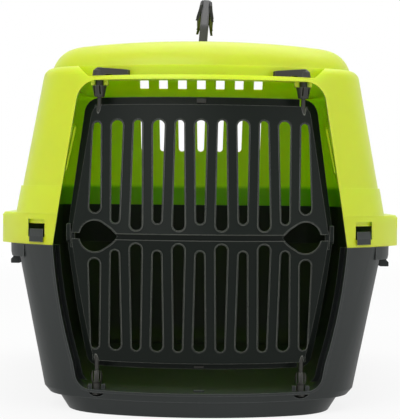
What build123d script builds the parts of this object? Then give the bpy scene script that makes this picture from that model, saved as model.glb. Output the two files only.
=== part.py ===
from build123d import *
import math
import os

os.makedirs("parts", exist_ok=True)

# Small animal carrier, in millimetres. X is width, the doorway faces -Y, Z is up.
# The origin is on the ground below the middle of the whole object.

# Overall sizes; what follows is tied to the half width and the half length
RIM_HALF_WIDTH = 162.5
HALF_LENGTH = 240.0
FRONT_Y = -HALF_LENGTH
RIM_BACK = HALF_LENGTH - 0.6
ROOF_Z = 290.0
WALL = 2.6
GAP = 0.3
BEYOND = 2.0 * HALF_LENGTH

# The front is bowed in plan, and its corners are tangent to that bow
BOW_RADIUS = 1.077 * RIM_HALF_WIDTH
FRONT_CORNER = 50.0
RIM_CORNER = 42.0
BACK_CORNER = 45.0
BOW_CENTRE_Y = FRONT_Y + BOW_RADIUS

# Base tub
BODY_HALF = RIM_HALF_WIDTH - 15.2
BODY_BACK = HALF_LENGTH - 14.0
BASE_TURN_HALF = BODY_HALF - 23.3
BASE_TURN_Z = 16.5
BASE_TURN_BACK = BODY_BACK - 21.0
CREASE_HALF = BODY_HALF - 27.8
CREASE_Z = 12.0
BASE_FRONT_LEAN = 23.0
FOOT_TOP_HALF = CREASE_HALF - 7.5
FOOT_BOTTOM_HALF = FOOT_TOP_HALF - 8.0
FOOT_BACK = BASE_TURN_BACK - 10.0
FOOT_WALL = 4.0
FLOOR_Z = CREASE_Z + WALL
FLOOR_FILLET = 22.0

# Joint between the tub and the top
SKIRT_BOTTOM_Z = 130.0
SKIRT_TOP_Z = 154.5
TONGUE_LOW_Z = 118.0
TONGUE_TOP_Z = 157.0
TONGUE_INSET = WALL + 3 * GAP
RIM_EDGE = 2.6
FLANGE_BOTTOM_Z = 119.5
FLANGE_HALF = RIM_HALF_WIDTH - 9.3
FLANGE_BACK = BODY_BACK + 7.0
FLANGE_CORNER = 46.0
FLANGE_END_X = BODY_HALF - 8.0
FLUSH_PROUD = 0.4
BAND_TOP_Z = 176.0
BAND_PROUD = 1.4

# Top shell
SHOULDER_HALF = BODY_HALF - 21.3
SHOULDER_BACK = BODY_BACK - 16.0
SHOULDER_Z = 270.0
SHOULDER_ROUND = 8.0
TOP_FRONT_LEAN = 20.5
LEDGE_Z = 261.2
LEDGE_HALF = SHOULDER_HALF - 38.0
LEDGE_END_SLOPE = 12.0
LEDGE_THICK = 3.3
LEDGE_BAND_PROUD = 0.8
ROOF_HALF = SHOULDER_HALF - 5.5
ROOF_FRONT_INSET = 15.0
ROOF_BACK = SHOULDER_BACK - 6.0
ROOF_CORNER = 44.0
ROOF_ROUND = 23.0
ROOF_DRAFT = 0.6
ROOF_CROWN_RADIUS = 1900.0

# Pocket of the roof, which the handle folds into
POCKET_HALF_X = 52.0
POCKET_HALF_Y = 99.0
POCKET_FLOOR_Z = 283.0
POCKET_CORNER = 12.0

# Doorway, as half widths at heights
DOORWAY_JOINT_HALF = BODY_HALF - 33.3
DOORWAY_MID_HALF = DOORWAY_JOINT_HALF - 3.8
DOORWAY_TOP_Z = LEDGE_Z - LEDGE_THICK
DOORWAY_TOP_HALF = DOORWAY_JOINT_HALF - 19.2
DOORWAY_LOW_MID_HALF = DOORWAY_JOINT_HALF - 5.7
DOORWAY_LOW_MID_Z = 83.5
DOORWAY_LOW_HALF = DOORWAY_JOINT_HALF - 16.2
DOORWAY_LOW_Z = 39.4
DOORWAY_FOOT_HALF = DOORWAY_JOINT_HALF - 20.0
SILL_Z = 19.0
DOORWAY_TOP_ROUND = 17.0
DOORWAY_SILL_ROUND = 12.0
BEAD_WIDE = 1.9
BEAD_PROUD = 0.8
JAMB_DEPTH = 18.0
STOP_WIDTH = 4.0
STOP_DEPTH = 4.0
SILL_DEPTH = 39.0

# Door pins and levers
PIN_X = DOORWAY_JOINT_HALF - 35.0
PIN_Y = FRONT_Y + 45.0
PIN_RADIUS = 1.7
PIN_FIT = 0.06
PIN_TIP_TOP_Z = 227.0
PIN_TIP_LOW_Z = 50.0
PIN_HEAD_RADIUS = 3.8
PIN_HEAD_HEIGHT = 1.4
PIN_RECESS = 8.4
PIN_RECESS_RISE = 3.0
PIN_RECESS_DEPTH = 5.5
SHAFT_RADIUS = 3.0
SHAFT_FIT = 0.06
BARB_WIDE = 5.6
BARB_NARROW = 4.0
BARB_HEIGHT = 8.4
BARB_SPLIT = 1.2
BARB_SPLIT_X = 2.4
BULB_WIDE = 4.5
BULB_HEIGHT = 10.0
BOSS_HALF = 6.6
BOSS_FRONT = 2.0
BOSS_BACK = 6.0
BOSS_HEIGHT = 3.9
BOSS_SLOT = 7.4
LEVER_HEAD_RADIUS = 5.6
LEVER_HEAD_HEIGHT = 6.4
LEVER_ARM = 25.0
LEVER_ARM_WIDE = 4.6
LEVER_TIP_WIDE = 2.9
LEVER_ROOT_THICK = 5.8
LEVER_TIP_THICK = 4.2
LEVER_REST_TURN = 21.8
LEVER_LIFT = 0.4

# Door
DOOR_MID_Z = 138.0
DOOR_MID_HALF = DOORWAY_JOINT_HALF - 15.6
DOOR_TOP_Z = 239.0
DOOR_TOP_HALF = DOOR_MID_HALF - 14.4
DOOR_LOW_Z = 41.0
DOOR_LOW_HALF = DOOR_MID_HALF - 17.0
DOOR_LOW_BULGE = 1.3
DOOR_TOP_ROUND = 8.0
DOOR_LOW_ROUND = 5.0
DOOR_UP_SLOPE = 0.255
DOOR_DOWN_SLOPE = 0.262
DOOR_THICK = 3.0
DOOR_RETURN_DEPTH = 11.0
DOOR_RETURN_WALL = 2.4
DOOR_LIP = 4.4
DOOR_LIP_TOP = 1.8
DOOR_LIP_LOW = 0.6
DOOR_LIP_THICK = 2.6
LEAF_GAP = 4.6
LEAF_STRIP_DEPTH = 2.3
LEAF_STRIP_LAP = 1.4
HINGE_RADIUS = 1.5
HINGE_EYE = 4.8
HINGE_EYE_WIDE = 3.0
HINGE_X = DOOR_MID_HALF + 2.6
HINGE_SETBACK = 7.0
HINGE_Y = BOW_CENTRE_Y - math.sqrt(BOW_RADIUS**2 - DOOR_MID_HALF**2) + HINGE_SETBACK
SLOT_COUNT = 11
SLOT_PITCH = 0.1636 * DOOR_MID_HALF
SLOT_WIDE = 0.55 * SLOT_PITCH
SLOT_NARROW = 0.39 * SLOT_PITCH
SLOT_TOP_Z = 227.5
SLOT_LOW_Z = 50.6
SLOT_RIM = 0.9
SLOT_RIM_PROUD = 0.45
FINGER_RADIUS = 11.8
FINGER_X = DOOR_MID_HALF - 18.0
FINGER_TIP_X = FINGER_X - 17.8
FINGER_BULGE = 0.9
SOCKET_HALF = 3.6
SOCKET_DEPTH = 3.8
SOCKET_REACH = 40.0
SOCKET_HEIGHT = 15.0
SOCKET_THROAT = 2.2

# Corner catches in the windows of the skirt
WINDOW_X0 = BODY_HALF - 26.3
WINDOW_X1 = WINDOW_X0 + 14.4
WINDOW_Z0 = 135.8
WINDOW_Z1 = 149.7
WINDOW_SHELF_Z = 146.4
WINDOW_SHELF_DEPTH = 8.0
HOOK_X0 = WINDOW_X0 + 1.4
HOOK_X1 = WINDOW_X1 - 1.2
HOOK_NOSE_Z0 = 132.0
HOOK_NOSE_Z1 = 136.6
HOOK_TOP_Z = 142.0
HOOK_PROUD = 1.7
HOOK_STEM_DEPTH = 8.4

# Side clips, hinged in the skirt of the top and hooked below the tub's flange
CLIP_Y = 0.49 * HALF_LENGTH
CLIP_WIDE = 30.0
CLIP_PIVOT_X = RIM_HALF_WIDTH - 7.9
CLIP_PIVOT_Z = 148.6
CLIP_PIN_RADIUS = 1.3
CLIP_PIN_FIT = 0.05
CLIP_KNUCKLE = 2.8
CLIP_HOOK_GRIP = 0.7
CLIP_HOOK_SLACK = 1.6
CLIP_INNER_X = CLIP_PIVOT_X - 6.0
CLIP_OUTER_X = CLIP_PIVOT_X - 2.2
CLIP_TAB_X = CLIP_PIVOT_X - 0.4
CLIP_TAB_Z = 112.6
CLIP_NOTCH_X = CLIP_PIVOT_X - 6.9
CLIP_CHEEK = 3.0

# Vents
BACK_VENT_COUNT = 7
BACK_VENT_PITCH = 0.133 * BODY_HALF
BACK_VENT_WIDE = 8.8
BACK_VENT_NARROW = 6.6
BACK_VENT_Z0 = 213.0
BACK_VENT_Z1 = 262.0
ROOF_VENT_Z = 277.4
ROOF_VENT_LENGTH = 16.0
ROOF_VENT_END_Z = 285.5
SIDE_VENT_COUNT = 11
SIDE_VENT_PITCH = 20.0
SIDE_VENT_LAST_Y = SHOULDER_BACK - 32.0
SIDE_VENT_WIDE = 8.0
SIDE_VENT_Z0 = 191.0
SIDE_VENT_Z1 = 238.0

# Handle, built upright and then leaned about its pivot
HANDLE_PIVOT_Z = 291.5
HANDLE_LEAN = 4.6
HANDLE_TOP_Z = 341.0
HANDLE_THICK = 6.6
HANDLE_LEG_Y0 = 77.0
HANDLE_LEG_Y1 = 91.0
HANDLE_BAR = 17.5
HANDLE_EYE = 4.6
HANDLE_PIN_RADIUS = 1.8
HANDLE_PIN_FIT = 0.05
LUG_THICK = 5.0
LUG_HALF = 5.4
LUG_CLEAR = 0.5
GRIP_HALF_LENGTH = 60.0
GRIP_TOP_HALF = 4.4
GRIP_HALF_WIDTH = 7.9
GRIP_HEIGHT = 20.0
GRIP_WALL = 2.2
GRIP_RIB_PITCH = 5.0
GRIP_RIB_WIDE = 2.4
GRIP_RIB_PROUD = 0.6


def keep(node, shape):
    """Writes one node, as a compound of its separate solids."""
    solids = shape.solids()
    piece = solids[0] if len(solids) == 1 else Compound(children=solids)
    piece.label = node
    export_step(piece, f"parts/{node}.step")


def plan_wire(z, half, front, back, inset=0.0, corner=FRONT_CORNER):
    """Outline from above: bowed front, rounded corners, straight sides and back."""
    half = half - inset
    front = front + inset
    back = back - inset
    bow = BOW_RADIUS - inset
    front_round = corner - inset
    back_round = BACK_CORNER - inset
    centre_y = front + bow
    corner_x = half - front_round
    reach = bow - front_round
    corner_y = centre_y - math.sqrt(reach**2 - corner_x**2)
    join_x = bow * corner_x / reach
    join_y = centre_y + bow * (corner_y - centre_y) / reach
    turn = math.atan2(join_y - corner_y, join_x - corner_x) / 2
    mid_x = corner_x + front_round * math.cos(turn)
    mid_y = corner_y + front_round * math.sin(turn)
    back_x = half - back_round
    back_y = back - back_round
    slant = math.sqrt(0.5) * back_round
    right = [
        ThreePointArc((0, front, z), (join_x / 2, centre_y - math.sqrt(bow**2 - join_x**2 / 4), z),
                      (join_x, join_y, z)),
        ThreePointArc((join_x, join_y, z), (mid_x, mid_y, z), (half, corner_y, z)),
        Line((half, corner_y, z), (half, back_y, z)),
        ThreePointArc((half, back_y, z), (back_x + slant, back_y + slant, z), (back_x, back, z)),
        Line((back_x, back, z), (0, back, z)),
    ]
    left = [edge.mirror(Plane.YZ) for edge in right]
    return Wire(right + left)


def tub(levels, inset=0.0, corner=FRONT_CORNER):
    """Solid through outlines at heights, each level being (z, half, front, back)."""
    wires = [plan_wire(z, half, front, back, inset, corner) for z, half, front, back in levels]
    return Solid.make_loft(wires, ruled=True)


def upright_tub(z0, z1, half, front, back, inset=0.0, corner=FRONT_CORNER):
    """Solid with the same outline from one height to another."""
    outline = Face(plan_wire(z0, half, front, back, inset, corner))
    return extrude(outline, amount=z1 - z0, dir=(0, 0, 1))


def bowed_wire(z, front, radius, half):
    side_y = front + radius - math.sqrt(radius**2 - half**2)
    back = front + radius
    return Wire([
        ThreePointArc((-half, side_y, z), (0, front, z), (half, side_y, z)),
        Line((half, side_y, z), (half, back, z)),
        Line((half, back, z), (-half, back, z)),
        Line((-half, back, z), (-half, side_y, z)),
    ])


def bowed_slab(levels, near, far, half=DOORWAY_JOINT_HALF + 6.0):
    """Slab behind the bowed front, between two depths; each level is (z, front)."""
    outer = [bowed_wire(z, y + near, BOW_RADIUS - near, half) for z, y in levels]
    inner = [bowed_wire(z, y + far, BOW_RADIUS - far, half) for z, y in levels]
    return Solid.make_loft(outer, ruled=True) - Solid.make_loft(inner, ruled=True)


def front_prism(sketch, start=BOW_CENTRE_Y):
    """Solid from a Y outwards through the front, from a sketch of the front view."""
    return extrude(Pos(0, start, 0) * (Plane.XZ * sketch), amount=BEYOND)


def block(x0, x1, y0, y1, z0, z1):
    size = (x1 - x0, y1 - y0, z1 - z0)
    return Pos((x0 + x1) / 2, (y0 + y1) / 2, (z0 + z1) / 2) * Box(*size)


def rod(radius, z0, z1, x=0.0, y=0.0):
    return Pos(x, y, (z0 + z1) / 2) * Cylinder(radius, z1 - z0)


def cone(radius0, radius1, z0, z1, x=0.0, y=0.0):
    return Pos(x, y, (z0 + z1) / 2) * Cone(radius0, radius1, z1 - z0)


def both_sides(shape):
    return [shape, shape.mirror(Plane.YZ)]


def base_front(z):
    """Y of the tub's front at the middle, at a height."""
    return FRONT_Y + BASE_FRONT_LEAN * max(0.0, SKIRT_BOTTOM_Z - z) / SKIRT_BOTTOM_Z


def top_front(z):
    share = max(0.0, z - SKIRT_TOP_Z) / (SHOULDER_Z - SKIRT_TOP_Z)
    return FRONT_Y + TOP_FRONT_LEAN * share


def door_front(z):
    slope = DOOR_UP_SLOPE if z > DOOR_MID_Z else DOOR_DOWN_SLOPE
    return FRONT_Y + slope * abs(z - DOOR_MID_Z)


def doorway_sketch(grow=0.0):
    """The doorway in the front view, through the tub and the top, made larger by grow."""
    sill = SILL_Z - grow
    top = DOORWAY_TOP_Z + grow
    foot_half = DOORWAY_FOOT_HALF + grow
    low_half = DOORWAY_LOW_HALF + grow
    low_mid_half = DOORWAY_LOW_MID_HALF + grow
    joint_half = DOORWAY_JOINT_HALF + grow
    mid_half = DOORWAY_MID_HALF + grow
    top_half = DOORWAY_TOP_HALF + grow
    right = [
        Line((foot_half, sill), (low_half, DOORWAY_LOW_Z)),
        ThreePointArc((low_half, DOORWAY_LOW_Z), (low_mid_half, DOORWAY_LOW_MID_Z),
                      (joint_half, SKIRT_BOTTOM_Z)),
        Line((joint_half, SKIRT_BOTTOM_Z), (mid_half, SKIRT_TOP_Z)),
        Line((mid_half, SKIRT_TOP_Z), (top_half, top)),
    ]
    left = [edge.mirror(Plane.YZ) for edge in right]
    ends = [Line((-foot_half, sill), (foot_half, sill)), Line((-top_half, top), (top_half, top))]
    outline = make_face(Curve() + right + left + ends)
    foot = [v for v in outline.vertices() if abs(v.Y - sill) < 0.01]
    outline = fillet(foot, DOORWAY_SILL_ROUND + grow)
    head = [v for v in outline.vertices() if abs(v.Y - top) < 0.01]
    return fillet(head, DOORWAY_TOP_ROUND + grow)


def make_base_shell(doorway):
    outer = tub([
        (CREASE_Z, CREASE_HALF, base_front(CREASE_Z), BASE_TURN_BACK - 4.0),
        (BASE_TURN_Z, BASE_TURN_HALF, base_front(BASE_TURN_Z), BASE_TURN_BACK),
        (SKIRT_BOTTOM_Z - GAP, BODY_HALF, base_front(SKIRT_BOTTOM_Z - GAP), BODY_BACK),
    ])
    foot_plan = (FOOT_BOTTOM_HALF, base_front(0) + 1.5, FOOT_BACK)
    foot = tub([(0, *foot_plan), (CREASE_Z, FOOT_TOP_HALF, base_front(CREASE_Z) + 0.6, FOOT_BACK + 6.0)])
    foot_pocket = upright_tub(-1, FLOOR_Z - WALL, *foot_plan, inset=FOOT_WALL)
    cavity = tub([
        (FLOOR_Z, BASE_TURN_HALF - 2.0, base_front(FLOOR_Z), BASE_TURN_BACK - 1.7),
        (SKIRT_BOTTOM_Z + 1, BODY_HALF, base_front(SKIRT_BOTTOM_Z), BODY_BACK),
    ], inset=WALL)
    cavity = fillet(cavity.faces().sort_by(Axis.Z)[0].edges(), FLOOR_FILLET)
    shell = outer + foot - cavity - foot_pocket

    # The tongue stands up inside the top, and the flange runs round the sides and the back
    plan = (BODY_HALF, FRONT_Y, BODY_BACK)
    tongue = upright_tub(TONGUE_LOW_Z, TONGUE_TOP_Z, *plan, inset=TONGUE_INSET)
    tongue = tongue - upright_tub(TONGUE_LOW_Z, TONGUE_TOP_Z, *plan, inset=TONGUE_INSET + WALL)
    flange = tub([
        (FLANGE_BOTTOM_Z, FLANGE_HALF - 0.8, base_front(FLANGE_BOTTOM_Z) - FLUSH_PROUD, FLANGE_BACK),
        (FLANGE_BOTTOM_Z + 3.0, FLANGE_HALF, base_front(FLANGE_BOTTOM_Z + 3.0) - FLUSH_PROUD, FLANGE_BACK),
        (SKIRT_BOTTOM_Z - GAP, FLANGE_HALF, base_front(SKIRT_BOTTOM_Z - GAP) - FLUSH_PROUD, FLANGE_BACK),
    ], corner=FLANGE_CORNER)
    flange = flange - upright_tub(FLANGE_BOTTOM_Z - 1, SKIRT_BOTTOM_Z + 1, *plan, inset=WALL + 1.0)
    flange = flange - block(-FLANGE_END_X, FLANGE_END_X, -BEYOND, 0, FLANGE_BOTTOM_Z - 1, SKIRT_BOTTOM_Z + 1)
    shell = shell + tongue + flange

    # Doorway with its bead, jamb, door stop and sill shelf
    joint_z = SKIRT_BOTTOM_Z - GAP
    front_levels = [(0, base_front(0)), (joint_z, base_front(joint_z))]
    shell = shell - front_prism(doorway)
    bead = bowed_slab(front_levels, -BEAD_PROUD, 1.0) & front_band(0.0, BEAD_WIDE)
    jamb = bowed_slab(front_levels, 0.4, JAMB_DEPTH) & front_band(0.0, WALL)
    stop = bowed_slab(front_levels, JAMB_DEPTH - STOP_DEPTH, JAMB_DEPTH) & front_band(-STOP_WIDTH, WALL)
    reach = RIM_HALF_WIDTH
    jamb_room = block(-reach, reach, -BEYOND, BOW_CENTRE_Y, SILL_Z - WALL, joint_z)
    stop_room = block(-reach, reach, -BEYOND, BOW_CENTRE_Y, SILL_Z + STOP_WIDTH + 1.0, joint_z)
    sill = bowed_slab(front_levels, 0.4, SILL_DEPTH)
    sill = sill & block(-DOORWAY_FOOT_HALF, DOORWAY_FOOT_HALF, -BEYOND, BOW_CENTRE_Y, SILL_Z - WALL, SILL_Z)
    shell = shell + (bead & jamb_room) + (jamb & jamb_room) + (stop & stop_room) + sill

    # Bosses for the bottom pins, and the recess below each
    for sign in (-1, 1):
        x = sign * PIN_X
        shell = shell + boss_ribs(x, SILL_Z - 0.5, SILL_Z + BOSS_HEIGHT)
        shell = shell - rod(SHAFT_RADIUS + SHAFT_FIT, SILL_Z - 4, SILL_Z + 6, x, PIN_Y)
        recess = Pos(x, SILL_Z + PIN_RECESS_RISE) * Circle(PIN_RECESS)
        recess_room = block(-reach, reach, -BEYOND, 0, 0, SILL_Z - WALL)
        shell = shell - (front_prism(recess, PIN_Y + PIN_RECESS_DEPTH) & recess_room)

    # Gaps of the tongue behind the corner catches
    gap = block(WINDOW_X0 - 1, WINDOW_X1 + 1, -BEYOND, BOW_CENTRE_Y, SKIRT_BOTTOM_Z - GAP, TONGUE_TOP_Z + 1)
    shell = shell - both_sides(gap)

    # Notches where the side clips hook below the flange
    for place in side_clip_places():
        notch = block(CLIP_NOTCH_X, 2 * reach, -CLIP_WIDE / 2 - GAP, CLIP_WIDE / 2 + GAP,
                      FLANGE_BOTTOM_Z - 1, SKIRT_BOTTOM_Z + 1)
        shell = shell - place_clip(notch, place)
    return shell


def boss_ribs(x, z0, z1):
    """A rib on either side of a pin, for its barb to bear on."""
    ribs = []
    for x0 in (x - BOSS_HALF, x + BOSS_SLOT / 2):
        ribs.append(block(x0, x0 + BOSS_HALF - BOSS_SLOT / 2, PIN_Y - BOSS_FRONT, PIN_Y + BOSS_BACK, z0, z1))
    return ribs


def front_band(inner, outer):
    """Prism of the strip round the doorway, between two outlines of it."""
    return front_prism(doorway_sketch(outer)) - front_prism(doorway_sketch(inner))


def side_clip_places():
    """Side and Y of each side clip."""
    return [(side, y) for side in (-1, 1) for y in (-CLIP_Y, CLIP_Y)]


def place_clip(shape, place):
    side, y = place
    moved = Pos(0, y, 0) * shape
    return moved if side > 0 else moved.mirror(Plane.YZ)


def roof_block(inset):
    front = top_front(LEDGE_Z) + ROOF_FRONT_INSET
    block_shape = tub([
        (SHOULDER_Z - 14, ROOF_HALF + ROOF_DRAFT, front, ROOF_BACK + ROOF_DRAFT),
        (ROOF_Z + 6, ROOF_HALF, front + 1, ROOF_BACK),
    ], inset, corner=ROOF_CORNER)
    crown = Pos(0, 0, ROOF_Z - inset - ROOF_CROWN_RADIUS) * Rot(90, 0, 0)
    block_shape = block_shape & (crown * Cylinder(ROOF_CROWN_RADIUS, 2 * BEYOND))
    block_shape = block_shape.solids()[0]
    top_edges = block_shape.faces().sort_by(Axis.Z)[-1].edges()
    return fillet(top_edges, ROOF_ROUND - inset)


def body_block(inset):
    block_shape = tub([
        (SKIRT_TOP_Z, BODY_HALF, FRONT_Y, BODY_BACK),
        (SHOULDER_Z - inset, SHOULDER_HALF, top_front(SHOULDER_Z), SHOULDER_BACK),
    ], inset)
    top_edges = block_shape.faces().sort_by(Axis.Z)[-1].edges()
    return fillet(top_edges, SHOULDER_ROUND - inset)


def ledge_room(grow, floor_z):
    """What is cut away above the ledge, with sloping ends and a bowed band left behind it."""
    half = LEDGE_HALF + grow
    outline = make_face(Polyline(
        (-half, floor_z),
        (half, floor_z),
        (half + LEDGE_END_SLOPE, floor_z + LEDGE_END_SLOPE),
        (half + LEDGE_END_SLOPE, ROOF_Z),
        (-half - LEDGE_END_SLOPE, ROOF_Z),
        (-half - LEDGE_END_SLOPE, floor_z + LEDGE_END_SLOPE),
        close=True,
    ))
    band_front = top_front(LEDGE_Z) + ROOF_FRONT_INSET - LEDGE_BAND_PROUD + grow
    band = Face(bowed_wire(floor_z - 1, band_front, BOW_RADIUS, BODY_HALF))
    return front_prism(outline) - extrude(band, amount=ROOF_Z, dir=(0, 0, 1))


def make_top_shell(doorway):
    # The levers stand on a ledge that is cut down across the front
    outer = body_block(0) - ledge_room(0, LEDGE_Z) + roof_block(0)
    band = tub([
        (SKIRT_TOP_Z, BODY_HALF + BAND_PROUD, FRONT_Y - FLUSH_PROUD, BODY_BACK + BAND_PROUD),
        (BAND_TOP_Z, BODY_HALF + BAND_PROUD - 4.0, top_front(BAND_TOP_Z) - FLUSH_PROUD,
         BODY_BACK + BAND_PROUD - 2.9),
    ])
    rim_plan = (RIM_HALF_WIDTH, FRONT_Y, RIM_BACK)
    rim = tub([
        (SKIRT_BOTTOM_Z, *rim_plan),
        (SKIRT_TOP_Z - RIM_EDGE, *rim_plan),
        (SKIRT_TOP_Z, RIM_HALF_WIDTH - RIM_EDGE, FRONT_Y, RIM_BACK - RIM_EDGE),
    ], corner=RIM_CORNER)
    shell = outer + band + rim
    hollow_top = SKIRT_TOP_Z - WALL
    shell = shell - upright_tub(SKIRT_BOTTOM_Z - 1, hollow_top, *rim_plan, inset=WALL, corner=RIM_CORNER)
    shell = shell - upright_tub(hollow_top, SKIRT_TOP_Z, BODY_HALF, FRONT_Y, BODY_BACK, inset=WALL)
    shell = shell - (body_block(WALL) - ledge_room(WALL, LEDGE_Z - LEDGE_THICK))
    tray = RectangleRounded(2 * (POCKET_HALF_X + WALL), 2 * (POCKET_HALF_Y + WALL), POCKET_CORNER + WALL)
    tray = extrude(Pos(0, 0, POCKET_FLOOR_Z - WALL) * tray, amount=2 * (ROOF_Z - POCKET_FLOOR_Z))
    shell = shell - (roof_block(WALL) - tray)
    pocket = RectangleRounded(2 * POCKET_HALF_X, 2 * POCKET_HALF_Y, POCKET_CORNER)
    shell = shell - extrude(Pos(0, 0, POCKET_FLOOR_Z) * pocket, amount=2 * (ROOF_Z - POCKET_FLOOR_Z))
    shell = shell - front_prism(doorway)
    levels = [(SKIRT_TOP_Z, FRONT_Y), (SHOULDER_Z, top_front(SHOULDER_Z))]
    bead = bowed_slab(levels, -BEAD_PROUD, 1.0) & front_band(0.0, BEAD_WIDE)
    bead = bead & block(-RIM_HALF_WIDTH, RIM_HALF_WIDTH, -BEYOND, BOW_CENTRE_Y, SKIRT_TOP_Z, LEDGE_Z)
    shell = shell + bead

    # Lever bosses under the ledge
    for sign in (-1, 1):
        x = sign * PIN_X
        shell = shell + boss_ribs(x, DOORWAY_TOP_Z - BOSS_HEIGHT, DOORWAY_TOP_Z + 0.5)
        shell = shell - rod(SHAFT_RADIUS + SHAFT_FIT, LEDGE_Z - 8, LEDGE_Z + 2, x, PIN_Y)

    # Windows for the corner catches, each with a shelf behind its upper edge
    rim_levels = [(SKIRT_BOTTOM_Z, FRONT_Y), (SKIRT_TOP_Z, FRONT_Y)]
    shelf = bowed_slab(rim_levels, WALL - 0.4, WINDOW_SHELF_DEPTH, WINDOW_X1 + 4)
    shelf = shelf & block(WINDOW_X0, WINDOW_X1, -BEYOND, 0, WINDOW_SHELF_Z, SKIRT_TOP_Z - WALL + 0.4)
    window = block(WINDOW_X0, WINDOW_X1, -BEYOND, BOW_CENTRE_Y - BOW_RADIUS / 2, WINDOW_Z0, WINDOW_Z1)
    shell = shell - both_sides(window) + both_sides(shelf)

    # Slots of the side clips, with a cheek at each end for the pin
    half = CLIP_WIDE / 2 + GAP
    for place in side_clip_places():
        for y0 in (-half - CLIP_CHEEK, half):
            cheek = block(CLIP_PIVOT_X - 4.4, RIM_HALF_WIDTH - WALL + 0.5, y0, y0 + CLIP_CHEEK,
                          CLIP_PIVOT_Z - 4.2, SKIRT_TOP_Z - WALL + 0.5)
            shell = shell + place_clip(cheek, place)
        slot = block(CLIP_PIVOT_X - 5, 2 * RIM_HALF_WIDTH, -half, half,
                     SKIRT_BOTTOM_Z - 1, SKIRT_TOP_Z - WALL)
        shell = shell - place_clip(slot, place)
        shell = shell - place_clip(clip_pin_rod(CLIP_PIN_RADIUS, 2 * half + 4), place)

    shell = shell - make_vents()
    return shell + make_lugs()


def vent_sketch(x, wide_top, wide_low, z0, z1):
    """Slot with round ends that narrows from one end to the other."""
    top_radius = wide_top / 2
    low_radius = wide_low / 2
    shape = Pos(x, z1 - top_radius) * Circle(top_radius)
    shape += Pos(x, z0 + low_radius) * Circle(low_radius)
    shape += make_face(Polyline(
        (x - top_radius, z1 - top_radius),
        (x + top_radius, z1 - top_radius),
        (x + low_radius, z0 + low_radius),
        (x - low_radius, z0 + low_radius),
        close=True,
    ))
    return shape


def make_vents():
    """Cutters for the air slots of the back, the rear roof edge and the sides."""
    cutters = []
    middle = (BACK_VENT_COUNT - 1) / 2
    half = BACK_VENT_WIDE / 2
    for index in range(BACK_VENT_COUNT):
        x = (index - middle) * BACK_VENT_PITCH
        slot = vent_sketch(x, BACK_VENT_WIDE, BACK_VENT_NARROW, BACK_VENT_Z0, BACK_VENT_Z1)
        behind = block(x - half, x + half, ROOF_BACK - 2 * ROOF_VENT_LENGTH, BEYOND, 0, ROOF_Z)
        cutters.append(front_prism(slot, BEYOND) & behind)
        cutters.append(block(x - half, x + half, ROOF_BACK - ROOF_VENT_LENGTH, ROOF_BACK + 20,
                             ROOF_VENT_Z, ROOF_Z + 5))
    end_x = (middle + 1) * BACK_VENT_PITCH
    for x in (-end_x, end_x):
        cutters.append(block(x - half, x + half, ROOF_BACK - ROOF_VENT_LENGTH - 4, ROOF_BACK + 20,
                             ROOF_VENT_END_Z, ROOF_Z + 5))
    for index in range(SIDE_VENT_COUNT):
        y = SIDE_VENT_LAST_Y - index * SIDE_VENT_PITCH
        slot = vent_sketch(y, SIDE_VENT_WIDE, SIDE_VENT_WIDE, SIDE_VENT_Z0, SIDE_VENT_Z1)
        side = extrude(Pos(ROOF_HALF - 15, 0, 0) * (Plane.YZ * slot), amount=RIM_HALF_WIDTH)
        cutters += both_sides(side)
    return cutters


def make_lugs():
    """Ears on the roof that hold the handle's pins."""
    ears = []
    for end in (-1, 1):
        for y0 in (HANDLE_LEG_Y0 - LUG_CLEAR - LUG_THICK, HANDLE_LEG_Y1 + LUG_CLEAR):
            low, high = sorted((end * y0, end * (y0 + LUG_THICK)))
            ear = block(-LUG_HALF, LUG_HALF, low, high, POCKET_FLOOR_Z - 1, HANDLE_PIVOT_Z)
            turn = Pos(0, (low + high) / 2, HANDLE_PIVOT_Z) * Rot(90, 0, 0)
            ear = ear + turn * Cylinder(LUG_HALF, LUG_THICK)
            ear = ear - turn * Cylinder(HANDLE_PIN_RADIUS + 0.02, LUG_THICK + 2)
            ears.append(ear)
    return ears


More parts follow.
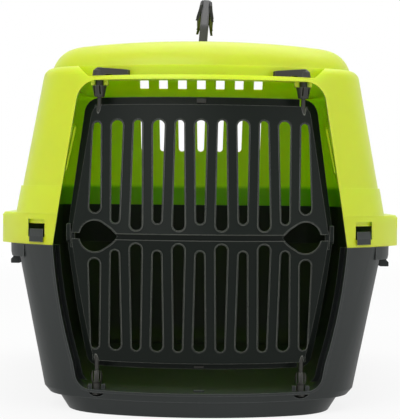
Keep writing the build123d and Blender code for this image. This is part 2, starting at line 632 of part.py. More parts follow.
def make_lever(sign):
    z0 = LEDGE_Z + LEVER_LIFT
    dome_z = z0 + LEVER_HEAD_HEIGHT - 2.4
    head = cone(LEVER_HEAD_RADIUS, LEVER_HEAD_RADIUS - 0.5, z0, dome_z)
    head += cone(LEVER_HEAD_RADIUS - 0.5, LEVER_HEAD_RADIUS - 3.4, dome_z, dome_z + 2.4)
    outline = make_face(Polyline(
        (0, -LEVER_ARM_WIDE),
        (LEVER_ARM - LEVER_TIP_WIDE, -LEVER_TIP_WIDE),
        (LEVER_ARM, -LEVER_TIP_WIDE + 1),
        (LEVER_ARM, LEVER_TIP_WIDE - 1),
        (LEVER_ARM - LEVER_TIP_WIDE, LEVER_TIP_WIDE),
        (0, LEVER_ARM_WIDE),
        close=True,
    ))
    side = make_face(Polyline(
        (0, z0),
        (LEVER_ARM, z0),
        (LEVER_ARM, z0 + LEVER_TIP_THICK - 0.5),
        (LEVER_ARM - 1, z0 + LEVER_TIP_THICK),
        (LEVER_HEAD_RADIUS, z0 + LEVER_ROOT_THICK),
        (0, z0 + LEVER_ROOT_THICK),
        close=True,
    ))
    arm = extrude(Pos(0, 0, z0) * outline, amount=LEVER_HEAD_HEIGHT)
    arm = arm & extrude(Pos(0, LEVER_HEAD_RADIUS, 0) * (Plane.XZ * side), amount=2 * LEVER_HEAD_RADIUS)
    notch = block(LEVER_HEAD_RADIUS + 1, LEVER_HEAD_RADIUS + 7, -10, 10, z0 - 1, z0 + 0.9)
    lever = head + (arm - notch)
    barb_top = DOORWAY_TOP_Z - BOSS_HEIGHT - GAP
    barb_low = barb_top - BARB_HEIGHT
    lever += rod(SHAFT_RADIUS, barb_top - 1, z0 + 1)
    barb = cone(BARB_NARROW, BARB_WIDE, barb_low, barb_top)
    for x in (-BARB_SPLIT_X, BARB_SPLIT_X):
        barb = barb - block(x - BARB_SPLIT / 2, x + BARB_SPLIT / 2, -8, 8, barb_low + 1.6, barb_top + 1)
    lever += barb
    lever += rod(PIN_RADIUS, PIN_TIP_TOP_Z, barb_top)
    turn = -LEVER_REST_TURN if sign < 0 else 180 + LEVER_REST_TURN
    return Pos(sign * PIN_X, PIN_Y, 0) * Rot(0, 0, turn) * lever


def make_bottom_pin(sign):
    """Pin with a head below the sill, a neck, a rounded barb and a thin end."""
    barb_low = SILL_Z + BOSS_HEIGHT + GAP
    barb_top = barb_low + BULB_HEIGHT
    head_top = SILL_Z - WALL - GAP
    half = make_face(Curve() + [
        Line((0, head_top - PIN_HEAD_HEIGHT), (PIN_HEAD_RADIUS, head_top - PIN_HEAD_HEIGHT)),
        Line((PIN_HEAD_RADIUS, head_top - PIN_HEAD_HEIGHT), (PIN_HEAD_RADIUS, head_top)),
        Line((PIN_HEAD_RADIUS, head_top), (SHAFT_RADIUS, head_top)),
        Line((SHAFT_RADIUS, head_top), (SHAFT_RADIUS, barb_low)),
        ThreePointArc((SHAFT_RADIUS, barb_low), (BULB_WIDE, barb_low + 0.45 * BULB_HEIGHT),
                      (PIN_RADIUS + 1.6, barb_top)),
        Line((PIN_RADIUS + 1.6, barb_top), (PIN_RADIUS, barb_top)),
        Line((PIN_RADIUS, barb_top), (PIN_RADIUS, PIN_TIP_LOW_Z)),
        Line((PIN_RADIUS, PIN_TIP_LOW_Z), (0, PIN_TIP_LOW_Z)),
        Line((0, PIN_TIP_LOW_Z), (0, head_top - PIN_HEAD_HEIGHT)),
    ])
    pin = revolve(Plane.XZ * half, Axis.Z)
    for x in (-BARB_SPLIT_X, BARB_SPLIT_X):
        split = block(x - BARB_SPLIT / 2, x + BARB_SPLIT / 2, -8, 8, barb_low + 1.5, barb_top + 1)
        pin = pin - split
    return Pos(sign * PIN_X, PIN_Y, 0) * pin


def door_outline(upper, grow=0.0, more=0.0):
    """Outline of one leaf in the front view, larger by grow, and its far end longer by more."""
    if upper:
        hinge_z = DOOR_MID_Z + LEAF_GAP / 2
        end_z = DOOR_TOP_Z + grow + more
        end_half = DOOR_TOP_HALF + grow + more
        radius = DOOR_TOP_ROUND + grow
    else:
        hinge_z = DOOR_MID_Z - LEAF_GAP / 2
        end_z = DOOR_LOW_Z - grow - more
        end_half = DOOR_LOW_HALF + grow + more
        radius = DOOR_LOW_ROUND + grow
    mid_half = DOOR_MID_HALF + grow
    bulge = 0.05 if upper else DOOR_LOW_BULGE
    side_mid = ((mid_half + end_half) / 2 + bulge, (hinge_z + end_z) / 2)
    side = ThreePointArc((mid_half, hinge_z), side_mid, (end_half, end_z))
    outline = make_face(Curve() + [
        side,
        side.mirror(Plane.YZ),
        Line((-mid_half, hinge_z), (mid_half, hinge_z)),
        Line((-end_half, end_z), (end_half, end_z)),
    ])
    corners = [v for v in outline.vertices() if abs(v.Y - end_z) < 0.01]
    return fillet(corners, max(radius, 0.5))


def finger_sketch(grow=0.0):
    """The two lens-shaped finger holes."""
    radius = FINGER_RADIUS + grow
    tip = FINGER_TIP_X - grow * 1.6
    angle = math.acos(radius / (FINGER_X - tip))
    touch_x = FINGER_X - radius * math.cos(angle)
    touch_z = radius * math.sin(angle)
    mid_x = (tip + touch_x) / 2 - FINGER_BULGE * math.cos(angle)
    mid_z = touch_z / 2 + FINGER_BULGE * math.sin(angle)
    point = make_face(Curve() + [
        ThreePointArc((tip, DOOR_MID_Z), (mid_x, DOOR_MID_Z + mid_z), (touch_x, DOOR_MID_Z + touch_z)),
        Line((touch_x, DOOR_MID_Z + touch_z), (FINGER_X, DOOR_MID_Z)),
        Line((FINGER_X, DOOR_MID_Z), (touch_x, DOOR_MID_Z - touch_z)),
        ThreePointArc((touch_x, DOOR_MID_Z - touch_z), (mid_x, DOOR_MID_Z - mid_z), (tip, DOOR_MID_Z)),
    ])
    lens = point + Pos(FINGER_X, DOOR_MID_Z) * Circle(radius)
    return lens + mirror(lens, Plane.YZ)


def leaf_slots(upper, grow=0.0):
    """Slots of one leaf: their ends follow the finger holes and the hinge line."""
    shape = Sketch()
    middle = (SLOT_COUNT - 1) // 2
    for index in range(SLOT_COUNT):
        x = (index - middle) * SLOT_PITCH
        long_slot = index % 2 == 0
        outermost = index in (0, SLOT_COUNT - 1)
        if upper:
            low = DOOR_MID_Z + (18.0 if outermost else 5.2 if long_slot else 10.4)
            top = SLOT_TOP_Z - (2.0 if outermost else 0.6)
            top_wide = SLOT_NARROW if long_slot else SLOT_WIDE
            low_wide = SLOT_WIDE if long_slot else SLOT_NARROW
        else:
            top = DOOR_MID_Z - (17.2 if outermost else 5.2 if long_slot else 10.4)
            low = SLOT_LOW_Z
            top_wide = SLOT_WIDE if long_slot else SLOT_NARROW
            low_wide = SLOT_NARROW if long_slot else SLOT_WIDE
        shape += vent_sketch(x, top_wide + 2 * grow, low_wide + 2 * grow, low - grow, top + grow)
    return shape


def make_leaf(upper):
    outline = door_outline(upper)
    if upper:
        end_z = DOOR_TOP_Z + 10
        levels = [(DOOR_MID_Z, door_front(DOOR_MID_Z)), (end_z, door_front(end_z))]
        low, high = DOOR_MID_Z + LEAF_GAP / 2, end_z - 1
        socket_z = (DOOR_TOP_Z - SOCKET_HEIGHT, DOOR_TOP_Z)
    else:
        end_z = DOOR_LOW_Z - 10
        levels = [(end_z, door_front(end_z)), (DOOR_MID_Z, door_front(DOOR_MID_Z))]
        low, high = end_z + 1, DOOR_MID_Z - LEAF_GAP / 2
        socket_z = (DOOR_LOW_Z, DOOR_LOW_Z + SOCKET_HEIGHT)
    room = block(-RIM_HALF_WIDTH, RIM_HALF_WIDTH, -BEYOND, BOW_CENTRE_Y, low, high)
    face_prism = front_prism(outline)
    hollow = front_prism(door_outline(upper, -DOOR_RETURN_WALL))
    plate = bowed_slab(levels, 0, DOOR_THICK) & face_prism
    around = bowed_slab(levels, 0, DOOR_RETURN_DEPTH) & (face_prism - hollow)
    lip = bowed_slab(levels, DOOR_RETURN_DEPTH - DOOR_LIP_THICK, DOOR_RETURN_DEPTH)
    lip_outline = door_outline(upper, DOOR_LIP, DOOR_LIP_TOP if upper else DOOR_LIP_LOW)
    lip = lip & (front_prism(lip_outline) - hollow) & room
    rims = front_prism(leaf_slots(upper, SLOT_RIM)) + front_prism(finger_sketch(SLOT_RIM))
    rims = bowed_slab(levels, -SLOT_RIM_PROUD, DOOR_THICK) & rims & face_prism
    leaf = plate + around + lip + rims

    # A set-back strip of the lower leaf closes the gap between the leaves
    if not upper:
        strip_z = (DOOR_MID_Z - LEAF_GAP / 2 - LEAF_STRIP_LAP, DOOR_MID_Z + LEAF_GAP / 2 - GAP)
        strip = bowed_slab([(z, door_front(z)) for z in strip_z], LEAF_STRIP_DEPTH, DOOR_THICK + 0.8)
        half = DOOR_MID_HALF - 8
        leaf = leaf + (strip & block(-half, half, -BEYOND, BOW_CENTRE_Y, *strip_z))

    # Pin sockets behind the face, open to the back on the latch side
    z0, z1 = socket_z
    for sign in (-1, 1):
        x = sign * PIN_X
        socket = bowed_slab(levels, 0.5, SOCKET_REACH)
        socket = socket & block(x - SOCKET_HALF, x + SOCKET_HALF, -BEYOND, PIN_Y + SOCKET_DEPTH, z0, z1)
        leaf = leaf + socket
        leaf = leaf - rod(PIN_RADIUS + PIN_FIT, z0 - 8, z1 + 8, x, PIN_Y)
        if sign > 0:
            throat = block(x - SOCKET_THROAT, x + SOCKET_THROAT, PIN_Y, PIN_Y + 20, z0 - 8, z1 + 8)
            leaf = leaf - throat
    leaf = leaf - front_prism(leaf_slots(upper)) - front_prism(finger_sketch())

    # Hinge eyes at both ends of the leaf, each in a notch of the other leaf
    for sign in (-1, 1):
        own = sign * (HINGE_X if upper else HINGE_X - HINGE_EYE_WIDE - GAP)
        other = sign * (HINGE_X - HINGE_EYE_WIDE - GAP if upper else HINGE_X)
        notch = hinge_place(other) * Cylinder(HINGE_EYE + GAP, HINGE_EYE_WIDE + 2 * GAP)
        leaf = leaf - notch
        arm_z = (DOOR_MID_Z, DOOR_MID_Z + 9) if upper else (DOOR_MID_Z - 9, DOOR_MID_Z)
        eye = hinge_place(own) * Cylinder(HINGE_EYE, HINGE_EYE_WIDE)
        arm = block(own - HINGE_EYE_WIDE / 2, own + HINGE_EYE_WIDE / 2,
                    HINGE_Y - HINGE_EYE, HINGE_Y + HINGE_EYE, *arm_z)
        leaf = leaf + (eye + arm - front_prism(finger_sketch()))
        leaf = leaf - hinge_place(own) * Cylinder(HINGE_RADIUS + PIN_FIT, HINGE_EYE_WIDE + 2)
    return leaf


def hinge_place(x):
    """Place of the leaves' hinge line, at a distance across the door."""
    return Pos(x, HINGE_Y, DOOR_MID_Z) * Rot(0, 90, 0)


def make_leaf_pins():
    middle = HINGE_X - (HINGE_EYE_WIDE + GAP) / 2
    length = 2 * HINGE_EYE_WIDE + 1
    return [hinge_place(sign * middle) * Cylinder(HINGE_RADIUS, length) for sign in (-1, 1)]


def make_corner_catch():
    """Catch that fills the skirt's window and noses out over the bar below it."""
    half = HOOK_X1 + 4
    nose_levels = [(HOOK_NOSE_Z0, FRONT_Y), (HOOK_NOSE_Z1, FRONT_Y)]
    nose = bowed_slab(nose_levels, -HOOK_PROUD, WALL, half)
    neck = bowed_slab([(HOOK_NOSE_Z1, FRONT_Y), (HOOK_TOP_Z, FRONT_Y + 4.0)], -HOOK_PROUD,
                      HOOK_STEM_DEPTH, half)
    bar = bowed_slab([(0, FRONT_Y), (WINDOW_Z0 + GAP, FRONT_Y)], -0.05, HOOK_STEM_DEPTH, half)
    front = bowed_slab(nose_levels, -HOOK_PROUD, -0.1, half)
    hook = nose + neck - bar + front
    return hook & block(HOOK_X0, HOOK_X1, -BEYOND, BOW_CENTRE_Y, 0, ROOF_Z)


def clip_pin_rod(radius, length):
    return Pos(CLIP_PIVOT_X, 0, CLIP_PIVOT_Z) * Rot(90, 0, 0) * Cylinder(radius, length)


def make_side_clip():
    """Hinged plate whose nose lies below the tub's flange, with a square finger tab."""
    nose_x = CLIP_NOTCH_X - CLIP_HOOK_GRIP
    nose_z = FLANGE_BOTTOM_Z - CLIP_HOOK_SLACK
    plate = make_face(Polyline(
        (CLIP_PIVOT_X - 2.6, CLIP_PIVOT_Z),
        (CLIP_INNER_X, CLIP_PIVOT_Z - 8),
        (CLIP_INNER_X, nose_z + 1),
        (nose_x + 0.3, nose_z),
        (nose_x, nose_z - 1),
        (nose_x, CLIP_TAB_Z + 0.5),
        (nose_x + 0.5, CLIP_TAB_Z),
        (CLIP_TAB_X - 0.5, CLIP_TAB_Z),
        (CLIP_TAB_X, CLIP_TAB_Z + 0.5),
        (CLIP_TAB_X, CLIP_TAB_Z + 3.4),
        (CLIP_OUTER_X, nose_z),
        (CLIP_OUTER_X, CLIP_PIVOT_Z - 11),
        (CLIP_PIVOT_X + 2.6, CLIP_PIVOT_Z),
        close=True,
    ))
    profile = plate + Pos(CLIP_PIVOT_X, CLIP_PIVOT_Z) * Circle(CLIP_KNUCKLE)
    clip = extrude(Pos(0, CLIP_WIDE / 2, 0) * (Plane.XZ * profile), amount=CLIP_WIDE)
    return clip - clip_pin_rod(CLIP_PIN_RADIUS + CLIP_PIN_FIT, CLIP_WIDE + 2)


def lean(shape):
    """Turns an upright handle piece about the pivot to its resting lean."""
    pivot = Pos(0, 0, HANDLE_PIVOT_Z)
    return pivot * Rot(0, HANDLE_LEAN, 0) * Pos(0, 0, -HANDLE_PIVOT_Z) * shape


def make_handle():
    y0, y1 = HANDLE_LEG_Y0, HANDLE_LEG_Y1
    bar_low = HANDLE_TOP_Z - HANDLE_BAR
    half = make_face(Curve() + [
        Line((0, HANDLE_TOP_Z), (48, HANDLE_TOP_Z - 1.5)),
        Line((48, HANDLE_TOP_Z - 1.5), (y1 - 2, HANDLE_PIVOT_Z + 21)),
        Line((y1 - 2, HANDLE_PIVOT_Z + 21), (y1, HANDLE_PIVOT_Z + 8)),
        Line((y1, HANDLE_PIVOT_Z + 8), (y1, HANDLE_PIVOT_Z)),
        Line((y1, HANDLE_PIVOT_Z), (y0, HANDLE_PIVOT_Z)),
        Line((y0, HANDLE_PIVOT_Z), (y0, HANDLE_PIVOT_Z + 8)),
        Line((y0, HANDLE_PIVOT_Z + 8), (y0 - 4, HANDLE_PIVOT_Z + 14)),
        Line((y0 - 4, HANDLE_PIVOT_Z + 14), (50, bar_low + 1)),
        Line((50, bar_low + 1), (0, bar_low + 2)),
        Line((0, bar_low + 2), (0, HANDLE_TOP_Z)),
    ])
    outline = half + mirror(half, Plane.YZ)
    bends = [v for v in outline.vertices() if 40 < abs(v.X) and v.Y > HANDLE_PIVOT_Z + 9]
    outline = fillet(bends, 7.0)
    frame = extrude(Pos(HANDLE_THICK / 2, 0, 0) * (Plane.YZ * outline), amount=-HANDLE_THICK)
    frame = fillet(frame.edges().filter_by(lambda e: abs(e.center().X) > HANDLE_THICK / 2 - 0.1
                                           and e.center().Z > HANDLE_PIVOT_Z + 6), 1.6)
    for sign in (-1, 1):
        turn = Pos(0, sign * (y0 + y1) / 2, HANDLE_PIVOT_Z) * Rot(90, 0, 0)
        frame = frame + turn * Cylinder(HANDLE_EYE, y1 - y0)
        frame = frame - turn * Cylinder(HANDLE_PIN_RADIUS + HANDLE_PIN_FIT, y1 - y0 + 2)
    return lean(frame)


def grip_section(more=0.0):
    """Section across one grip: against the bar at its top, and flared out below."""
    inner = HANDLE_THICK / 2
    high = HANDLE_TOP_Z - 1.6
    low = high - GRIP_HEIGHT
    return make_face(Polyline(
        (inner, high),
        (GRIP_TOP_HALF + more - 0.6, high - 0.3),
        (GRIP_TOP_HALF + more, high - 2.5),
        (GRIP_TOP_HALF + more + 1.0, high - 9),
        (GRIP_HALF_WIDTH + more, low),
        (GRIP_HALF_WIDTH - GRIP_WALL, low),
        (inner, high - 10),
        close=True,
    ))


def make_grip(sign):
    """Ribbed soft panel that hangs from one side of the handle's bar."""
    high = HANDLE_TOP_Z - 1.6
    outline = make_face(Polyline(
        (-GRIP_HALF_LENGTH, high - GRIP_HEIGHT),
        (-GRIP_HALF_LENGTH + 14, high - GRIP_HEIGHT + 5.2),
        (GRIP_HALF_LENGTH - 14, high - GRIP_HEIGHT + 5.2),
        (GRIP_HALF_LENGTH, high - GRIP_HEIGHT),
        (GRIP_HALF_LENGTH, high - 6),
        (GRIP_HALF_LENGTH - 14, high),
        (-GRIP_HALF_LENGTH + 14, high),
        (-GRIP_HALF_LENGTH, high - 6),
        close=True,
    ))
    room = extrude(Plane.YZ * outline, amount=2 * GRIP_HALF_WIDTH)
    panel = extrude(Pos(0, GRIP_HALF_LENGTH, 0) * (Plane.XZ * grip_section()), amount=2 * GRIP_HALF_LENGTH)
    panel = panel & room
    wide = 2 * GRIP_HALF_WIDTH
    inside = block(-wide, wide, -GRIP_HALF_LENGTH, GRIP_HALF_LENGTH, high - GRIP_HEIGHT + 3.5, high - 1.5)
    count = int((GRIP_HALF_LENGTH - 6) / GRIP_RIB_PITCH)
    for index in range(-count, count + 1):
        place = Pos(0, index * GRIP_RIB_PITCH + GRIP_RIB_WIDE / 2, 0)
        rib = extrude(place * (Plane.XZ * grip_section(GRIP_RIB_PROUD)), amount=GRIP_RIB_WIDE)
        panel = panel + (rib & room & inside)
    if sign < 0:
        panel = panel.mirror(Plane.YZ)
    return lean(panel)


doorway = doorway_sketch()
keep("base_shell", make_base_shell(doorway))
keep("top_shell", make_top_shell(doorway))
keep("door_upper_leaf", make_leaf(True))
keep("door_lower_leaf", make_leaf(False))
keep("door_leaf_pins", Compound(children=make_leaf_pins()))
keep("lever_left", make_lever(-1))
keep("lever_right", make_lever(1))
keep("bottom_pin_left", make_bottom_pin(-1))
keep("bottom_pin_right", make_bottom_pin(1))

catch = make_corner_catch()
keep("corner_catch_right", catch)
keep("corner_catch_left", catch.mirror(Plane.YZ))

side_clip = make_side_clip()
names = {(-1, -CLIP_Y): "side_clip_left_front", (-1, CLIP_Y): "side_clip_left_rear",
         (1, -CLIP_Y): "side_clip_right_front", (1, CLIP_Y): "side_clip_right_rear"}
for place, name in names.items():
    keep(name, place_clip(side_clip, place))
clip_pin = clip_pin_rod(CLIP_PIN_RADIUS, CLIP_WIDE + 2 * GAP + 3)
keep("side_clip_pins", Compound(children=[place_clip(clip_pin, place) for place in side_clip_places()]))

keep("handle_frame", make_handle())
keep("handle_grip_left", make_grip(-1))
keep("handle_grip_right", make_grip(1))
handle_pin_length = HANDLE_LEG_Y1 - HANDLE_LEG_Y0 + 2 * LUG_CLEAR + 2 * LUG_THICK - 1
for end, name in ((-1, "handle_pivot_front"), (1, "handle_pivot_rear")):
    y = end * (HANDLE_LEG_Y0 + HANDLE_LEG_Y1) / 2
    keep(name, Pos(0, y, HANDLE_PIVOT_Z) * Rot(90, 0, 0) * Cylinder(HANDLE_PIN_RADIUS, handle_pin_length))
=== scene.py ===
import math

import bmesh
import bpy
from mathutils import Matrix, Vector


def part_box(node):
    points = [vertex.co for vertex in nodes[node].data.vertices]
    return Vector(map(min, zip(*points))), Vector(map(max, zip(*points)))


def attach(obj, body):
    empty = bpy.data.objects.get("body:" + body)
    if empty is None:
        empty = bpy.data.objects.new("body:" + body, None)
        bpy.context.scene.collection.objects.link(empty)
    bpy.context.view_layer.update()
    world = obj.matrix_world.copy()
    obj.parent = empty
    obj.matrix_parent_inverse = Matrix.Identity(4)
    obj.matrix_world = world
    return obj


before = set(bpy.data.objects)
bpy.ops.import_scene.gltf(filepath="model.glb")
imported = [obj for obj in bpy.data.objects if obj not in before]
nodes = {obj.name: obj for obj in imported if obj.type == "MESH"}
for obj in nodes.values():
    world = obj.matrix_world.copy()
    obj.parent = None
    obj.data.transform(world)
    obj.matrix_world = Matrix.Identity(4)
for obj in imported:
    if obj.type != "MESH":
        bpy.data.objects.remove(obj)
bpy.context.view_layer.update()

# The photograph's height in pixels, and the camera that took it
IMAGE_HEIGHT = 419
FOCAL_PIXELS = 1508
HORIZON_ROW = 186.5
CAMERA_PLACE = Vector((-0.0004, -1.364, 0.1764))
CAMERA_ROLL = math.radians(0.55)
SENSOR = 36.0

# Tabs on the door's edges and on the sill: their places, and their sizes
TAB_BELOW_TOP = 0.0012
TAB_FRONT = 0.0331
TAB_DEPTH = 0.0030
TAB_HALF = 0.0043
TAB_TAPER = 0.0008
TAB_HEIGHT = 0.0036
TAB_ROUND = 0.0004
TAB_ROUND_STEPS = 2
TAB_ABOVE_FOOT = 0.0010
LOW_TAB_HEIGHT = 0.0016
SILL_TAB_FRONT = -0.2090
SILL_TAB_Z = 0.0188
FLAT_ANGLE = 0.01

# Painted shade: the lid's inner faces are darkened below the height where its lower band makes
# the wall thicker, standing in for the light that comes through less there
SHADE_BAND_TOP_Z = 0.176
SHADE_BAND_BLUR = 0.002
PAINTED_BAND_SHADE = (0.64, 0.62, 0.60, 1)

# Light that passes through the lid: how far each colour goes, and the scale of that
SOFT_RADIUS = (0.60, 1.0, 0.1)
SOFT_SCALE = 0.013

# The painted edge highlight goes where a bevel turns the normal from the first cosine towards the
# second
EDGE_FLAT = 0.99
EDGE_SHARP = 0.80

# Flow marks in the plastic, the shades that they give its colour and the change of gloss
PLASTIC_IOR = 1.5
FLOW_NOISE = {"Scale": 9.0, "Detail": 3.0, "Roughness": 0.55}
SHADE_DARK = 0.94
SHADE_DARK_AT = 0.3
SHADE_LIGHT = 1.06
SHADE_LIGHT_AT = 0.75
GLOSS_BELOW = 0.04
GLOSS_ABOVE = 0.06
GRAIN_DETAIL = 2.0
GRAIN_DEPTH = 0.0004

# Finishes: linear colour, roughness, linear colour of the painted highlight on the edges, and the
# rest
FINISHES = {
    "lid_plastic": dict(
        colour=(0.615, 0.82, 0.02), roughness=0.36, edge=(0.70, 0.88, 0.09),
        highlight_strength=0.6, specular=0.4, soft=0.65),
    "tub_plastic": dict(
        colour=(0.024, 0.028, 0.027), roughness=0.46, edge=(0.16, 0.17, 0.165),
        highlight_strength=0.7, specular=0.25),
    "door_plastic": dict(
        colour=(0.008, 0.011, 0.009), roughness=0.42, edge=(0.25, 0.26, 0.23),
        highlight_strength=0.75, width=0.0006, specular=0.09),
    "lever_plastic": dict(
        colour=(0.022, 0.022, 0.018), roughness=0.50, edge=(0.22, 0.22, 0.19), specular=0.4),
    "handle_plastic": dict(
        colour=(0.045, 0.045, 0.045), roughness=0.50, edge=(0.18, 0.18, 0.18), specular=0.3),
    "grip_rubber": dict(
        colour=(0.030, 0.030, 0.030), roughness=0.72, edge=(0.17, 0.17, 0.17),
        grain=0.0006, bump=0.2, specular=0.3),
}
PAINTED = {
    "lid_plastic": ["top_shell"],
    "tub_plastic": [
        "base_shell", "corner_catch_left", "corner_catch_right", "side_clip_left_front",
        "side_clip_left_rear", "side_clip_right_front", "side_clip_right_rear", "side_clip_pins"],
    "door_plastic": ["door_upper_leaf", "door_lower_leaf", "door_leaf_pins"],
    "lever_plastic": ["lever_left", "lever_right", "bottom_pin_left", "bottom_pin_right"],
    "handle_plastic": ["handle_frame", "handle_pivot_front", "handle_pivot_rear"],
    "grip_rubber": ["handle_grip_left", "handle_grip_right"],
}

# Studio: the floor is white to the camera by this share near the object, and fully from afar
FLOOR_LOOK = {
    "Base Color": (0.9, 0.9, 0.9, 1), "Roughness": 0.9, "Specular IOR Level": 0.1}
FLOOR_WHITE = 0.85
FLOOR_HALF = 6.0
FADE_START = 0.7
FADE_END = 2.4
WHITE = (1, 1, 1, 1)
WORLD_LIGHT = 0.42

# Lamps: name, place, the point each is aimed at, size and power
LAMPS = [
    ("key", (-0.7, -1.6, 1.3), (0, 0, 0.15), (1.6, 1.2), 16),
    ("top", (0.2, 0.2, 2.0), (0, 0, 0.2), (2.2, 2.2), 26),
    ("fill", (1.6, -1.2, 0.7), (0, 0, 0.15), (1.2, 1.2), 5),
]
NODE_STEP = 220


def add_node(tree, kind, inputs=None, **settings):
    """New node in a row with the others, with its settings and then its input values."""
    node = tree.nodes.new(kind)
    node.location = (NODE_STEP * len(tree.nodes), 0)
    for name, value in settings.items():
        setattr(node, name, value)
    for name, value in (inputs or {}).items():
        node.inputs[name].default_value = value
    return node


def object_position(tree):
    """A place in the object's own axes, so that marks stay on the piece when it moves."""
    return add_node(tree, "ShaderNodeTexCoord").outputs["Object"]


def edge_highlight_mask(tree, width, strength):
    """Factor for the painted edge highlight, which rises to strength on edges, from how far a
    bevel turns the normal.
    """
    bevel = add_node(tree, "ShaderNodeBevel", {"Radius": width})
    surface = add_node(tree, "ShaderNodeNewGeometry")
    turn = add_node(tree, "ShaderNodeVectorMath", operation="DOT_PRODUCT")
    tree.links.new(bevel.outputs["Normal"], turn.inputs[0])
    tree.links.new(surface.outputs["Normal"], turn.inputs[1])
    level = add_node(
        tree, "ShaderNodeMapRange",
        {"From Min": EDGE_FLAT, "From Max": EDGE_SHARP, "To Max": strength})
    tree.links.new(turn.outputs["Value"], level.inputs["Value"])
    return level.outputs["Result"]


def painted_shade_mask(tree, position):
    """Mask of painted shade: 1 on the inner faces of the lid's lower band, and 0 elsewhere."""
    split = add_node(tree, "ShaderNodeSeparateXYZ")
    tree.links.new(position, split.inputs[0])
    below = add_node(
        tree, "ShaderNodeMapRange",
        {"From Min": SHADE_BAND_TOP_Z + SHADE_BAND_BLUR, "From Max": SHADE_BAND_TOP_Z - SHADE_BAND_BLUR})
    tree.links.new(split.outputs["Z"], below.inputs["Value"])
    surface = add_node(tree, "ShaderNodeNewGeometry")
    outward = add_node(tree, "ShaderNodeVectorMath", operation="DOT_PRODUCT")
    tree.links.new(position, outward.inputs[0])
    tree.links.new(surface.outputs["Normal"], outward.inputs[1])
    inner = add_node(tree, "ShaderNodeMath", {1: 0.0}, operation="LESS_THAN")
    tree.links.new(outward.outputs["Value"], inner.inputs[0])
    both = add_node(tree, "ShaderNodeMath", operation="MULTIPLY")
    tree.links.new(below.outputs["Result"], both.inputs[0])
    tree.links.new(inner.outputs["Value"], both.inputs[1])
    return both.outputs["Value"]


def moulded_plastic(name, colour, roughness, edge, grain=0.00035, bump=0.05, highlight_strength=0.5,
                    width=0.0007, specular=0.5, soft=0.0):
    """Moulded plastic: faint flow marks, fine grain, a painted highlight on its edges and, where
    light passes through, painted shade on the inner faces of the lid's lower band.
    """
    material = bpy.data.materials.new(name)
    material.use_nodes = True
    tree = material.node_tree
    shader = tree.nodes["Principled BSDF"]
    shader.inputs["IOR"].default_value = PLASTIC_IOR
    shader.inputs["Specular IOR Level"].default_value = specular
    if soft:
        shader.inputs["Subsurface Weight"].default_value = soft
        shader.inputs["Subsurface Radius"].default_value = SOFT_RADIUS
        shader.inputs["Subsurface Scale"].default_value = SOFT_SCALE
    position = object_position(tree)

    flow = add_node(tree, "ShaderNodeTexNoise", FLOW_NOISE)
    tree.links.new(position, flow.inputs["Vector"])
    shades = add_node(tree, "ShaderNodeValToRGB")
    dark, light = shades.color_ramp.elements
    dark.position = SHADE_DARK_AT
    dark.color = (*[c * SHADE_DARK for c in colour], 1)
    light.position = SHADE_LIGHT_AT
    light.color = (*[min(1, c * SHADE_LIGHT) for c in colour], 1)
    tree.links.new(flow.outputs["Fac"], shades.inputs["Fac"])

    # Painted highlight: edges are mixed towards a lighter colour
    highlighted = add_node(tree, "ShaderNodeMix", {"B": (*edge, 1)}, data_type="RGBA")
    tree.links.new(edge_highlight_mask(tree, width, highlight_strength), highlighted.inputs["Factor"])
    tree.links.new(shades.outputs["Color"], highlighted.inputs["A"])
    surface_colour = highlighted.outputs["Result"]
    # Painted shade: the inner faces of the lid's lower band are darkened by a multiply
    if soft:
        band_shade = add_node(
            tree, "ShaderNodeMix", {"B": PAINTED_BAND_SHADE}, data_type="RGBA", blend_type="MULTIPLY")
        tree.links.new(painted_shade_mask(tree, position), band_shade.inputs["Factor"])
        tree.links.new(surface_colour, band_shade.inputs["A"])
        surface_colour = band_shade.outputs["Result"]
    tree.links.new(surface_colour, shader.inputs["Base Color"])

    gloss = add_node(
        tree, "ShaderNodeMapRange",
        {"To Min": roughness - GLOSS_BELOW, "To Max": roughness + GLOSS_ABOVE})
    tree.links.new(flow.outputs["Fac"], gloss.inputs["Value"])
    tree.links.new(gloss.outputs["Result"], shader.inputs["Roughness"])

    grains = add_node(tree, "ShaderNodeTexNoise", {"Scale": 1.0 / grain, "Detail": GRAIN_DETAIL})
    tree.links.new(position, grains.inputs["Vector"])
    relief = add_node(tree, "ShaderNodeBump", {"Strength": bump, "Distance": GRAIN_DEPTH})
    tree.links.new(grains.outputs["Fac"], relief.inputs["Height"])
    tree.links.new(relief.outputs["Normal"], shader.inputs["Normal"])
    return material


def make_materials():
    """Each finish, put on the CAD nodes that it is for."""
    materials = {}
    for name, finish in FINISHES.items():
        material = moulded_plastic(name, **finish)
        for painted in PAINTED[name]:
            mesh = nodes[painted].data
            mesh.materials.clear()
            mesh.materials.append(material)
        materials[name] = material
    return materials


def make_tab(name, body, material, front, low_z, high_z):
    """Small tab in the middle, tapered to its front face."""
    shape = bmesh.new()
    corners = []
    for y, side in ((front, TAB_HALF - TAB_TAPER), (front + TAB_DEPTH, TAB_HALF)):
        for x in (-side, side):
            for z in (low_z, high_z):
                corners.append(shape.verts.new((x, y, z)))
    bmesh.ops.convex_hull(shape, input=corners)
    bmesh.ops.dissolve_limit(
        shape, angle_limit=FLAT_ANGLE, verts=shape.verts, edges=shape.edges)
    bmesh.ops.bevel(
        shape, geom=shape.edges, offset=TAB_ROUND, segments=TAB_ROUND_STEPS,
        affect="EDGES", profile=0.5)
    mesh = bpy.data.meshes.new(name)
    shape.to_mesh(mesh)
    shape.free()
    mesh.materials.append(material)
    tab = bpy.data.objects.new(name, mesh)
    bpy.context.scene.collection.objects.link(tab)
    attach(tab, body)


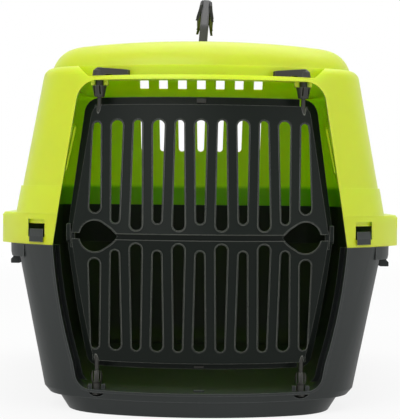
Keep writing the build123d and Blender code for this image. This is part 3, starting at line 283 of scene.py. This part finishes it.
def make_tabs(materials):
    """Tabs on the top edge of the door, on its lower edge and on the sill."""
    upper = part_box("door_upper_leaf")
    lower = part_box("door_lower_leaf")
    front = upper[0][1] + TAB_FRONT
    top = upper[1][2] - TAB_BELOW_TOP
    foot = lower[0][2] + TAB_ABOVE_FOOT
    for name, body, slot, face, low_z, high_z in (
            ("door_tab", "door", "lever_plastic", front, top - TAB_HEIGHT, top),
            ("door_foot_tab", "door", "lever_plastic", front, foot, foot + LOW_TAB_HEIGHT),
            ("sill_tab", "base", "tub_plastic", SILL_TAB_FRONT, SILL_TAB_Z,
             SILL_TAB_Z + LOW_TAB_HEIGHT)):
        make_tab(name, body, materials[slot], face, low_z, high_z)


def make_camera():
    """Level camera with the photograph's focal length and horizon."""
    data = bpy.data.cameras.new("camera")
    data.sensor_width = SENSOR
    data.lens = SENSOR * FOCAL_PIXELS / IMAGE_HEIGHT
    data.shift_y = (HORIZON_ROW - IMAGE_HEIGHT / 2) / IMAGE_HEIGHT
    camera = bpy.data.objects.new("camera", data)
    camera.location = CAMERA_PLACE
    camera.rotation_mode = "QUATERNION"
    turn = Matrix.Rotation(math.radians(90), 3, "X") @ Matrix.Rotation(CAMERA_ROLL, 3, "Z")
    camera.rotation_quaternion = turn.to_quaternion()
    bpy.context.scene.collection.objects.link(camera)
    bpy.context.scene.camera = camera


def seen_ray(tree):
    """1 for rays from the camera, a reflection or a see-through surface, and 0 for others."""
    path = add_node(tree, "ShaderNodeLightPath")
    value = path.outputs["Is Camera Ray"]
    for kind in ("Is Glossy Ray", "Is Transmission Ray"):
        either = add_node(tree, "ShaderNodeMath", operation="MAXIMUM")
        tree.links.new(value, either.inputs[0])
        tree.links.new(path.outputs[kind], either.inputs[1])
        value = either.outputs["Value"]
    return value


def mix_shaders(tree, factor, first, second, target):
    """Mix of two shaders into the material's or the world's output."""
    mix = add_node(tree, "ShaderNodeMixShader")
    tree.links.new(factor, mix.inputs[0])
    tree.links.new(first.outputs[0], mix.inputs[1])
    tree.links.new(second.outputs[0], mix.inputs[2])
    tree.links.new(mix.outputs[0], target.inputs["Surface"])


def make_floor():
    """Pale floor that is nearly white to the camera, apart from the object's shadow."""
    material = bpy.data.materials.new("floor_paper")
    material.use_nodes = True
    tree = material.node_tree
    shader = tree.nodes["Principled BSDF"]
    for name, value in FLOOR_LOOK.items():
        shader.inputs[name].default_value = value
    white = add_node(tree, "ShaderNodeEmission", {"Strength": 1.0})
    distance = add_node(tree, "ShaderNodeVectorMath", operation="LENGTH")
    tree.links.new(object_position(tree), distance.inputs[0])
    fade = add_node(
        tree, "ShaderNodeMapRange",
        {"From Min": FADE_START, "From Max": FADE_END, "To Min": FLOOR_WHITE})
    tree.links.new(distance.outputs["Value"], fade.inputs["Value"])
    share = add_node(tree, "ShaderNodeMath", operation="MULTIPLY")
    tree.links.new(seen_ray(tree), share.inputs[0])
    tree.links.new(fade.outputs["Result"], share.inputs[1])
    mix_shaders(tree, share.outputs["Value"], shader, white, tree.nodes["Material Output"])

    mesh = bpy.data.meshes.new("floor")
    corners = [(-1, -1), (1, -1), (1, 1), (-1, 1)]
    mesh.from_pydata(
        [(x * FLOOR_HALF, y * FLOOR_HALF, 0) for x, y in corners], [], [(0, 1, 2, 3)])
    mesh.materials.append(material)
    floor = bpy.data.objects.new("floor", mesh)
    bpy.context.scene.collection.objects.link(floor)


def make_world():
    """White behind the object, and a dimmer white for the light that falls on it."""
    world = bpy.data.worlds.new("studio")
    bpy.context.scene.world = world
    world.use_nodes = True
    tree = world.node_tree
    back = tree.nodes["Background"]
    back.inputs["Color"].default_value = WHITE
    back.inputs["Strength"].default_value = WORLD_LIGHT
    bright = add_node(tree, "ShaderNodeBackground", {"Color": WHITE, "Strength": 1.0})
    mix_shaders(tree, seen_ray(tree), back, bright, tree.nodes["World Output"])


def make_lamps():
    """Soft rectangular lamps."""
    for name, place, target, size, power in LAMPS:
        data = bpy.data.lights.new(name, "AREA")
        data.shape = "RECTANGLE"
        data.size, data.size_y = size
        data.energy = power
        lamp = bpy.data.objects.new(name, data)
        lamp.location = place
        aim = Vector(target) - Vector(place)
        lamp.rotation_mode = "QUATERNION"
        lamp.rotation_quaternion = aim.to_track_quat("-Z", "Y")
        bpy.context.scene.collection.objects.link(lamp)


make_camera()
make_tabs(make_materials())
make_floor()
make_world()
make_lamps()

scene = bpy.context.scene
scene.view_settings.view_transform = "Standard"
